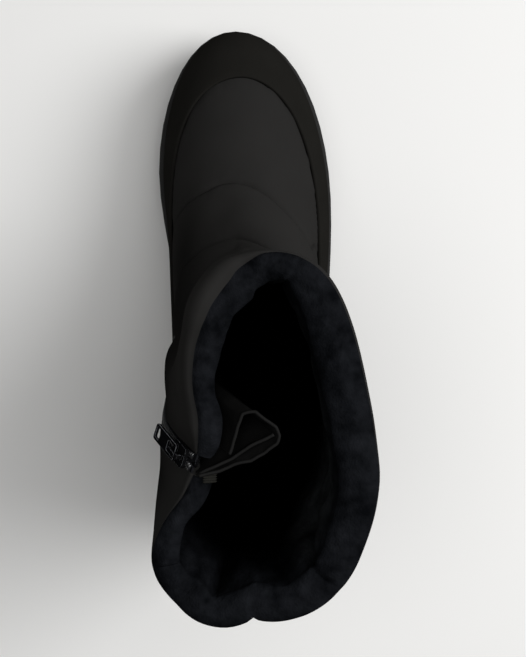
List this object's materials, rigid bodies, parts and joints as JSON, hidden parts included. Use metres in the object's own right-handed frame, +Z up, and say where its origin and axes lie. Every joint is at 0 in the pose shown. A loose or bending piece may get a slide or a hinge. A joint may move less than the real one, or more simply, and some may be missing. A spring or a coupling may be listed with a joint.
{
  "type": "winter boot",
  "caption": "Padded nylon winter boot for the right foot, with a side zip on the inner side, plush lining, a matte rand round the toe and heel, and a lugged rubber sole.",
  "frame": {"origin": "middle of the boot's box in plan, on the floor under the sole", "axes": "+X towards the toe, +Y to the left, which is the inner side of this right boot, +Z up along the shaft"},
  "size_m": [0.2865, 0.0997, 0.259],
  "materials": {
    "sole_rubber": "matte black moulded rubber",
    "plush_lining": "short black plush pile",
    "padded_nylon": "smooth padded black nylon with quilting seams",
    "rand": "matte coated black",
    "gusset_nylon": "thin folded black nylon",
    "zip_coil": "black coil on woven tape",
    "zip_metal": "black enamelled metal"
  },
  "bodies": {
    "boot": {"outsole": "sole_rubber", "insole": "plush_lining", "upper": "padded_nylon", "rand": "rand", "gusset": "gusset_nylon", "zip_chain": "zip_coil", "zip_end_front": "zip_coil", "zip_end_back": "zip_coil", "zip_slider": "zip_metal"},
    "pull": {"zip_pull": "zip_metal"}
  },
  "joints": [
    {"name": "pull_hinge", "type": "hinge", "parent": "boot", "child": "pull", "pos_m": [-0.07224, 0.03956, 0.24555], "axis": [0.9237, -0.2908, 0.2492], "range_deg": [0, 150]}
  ]
}
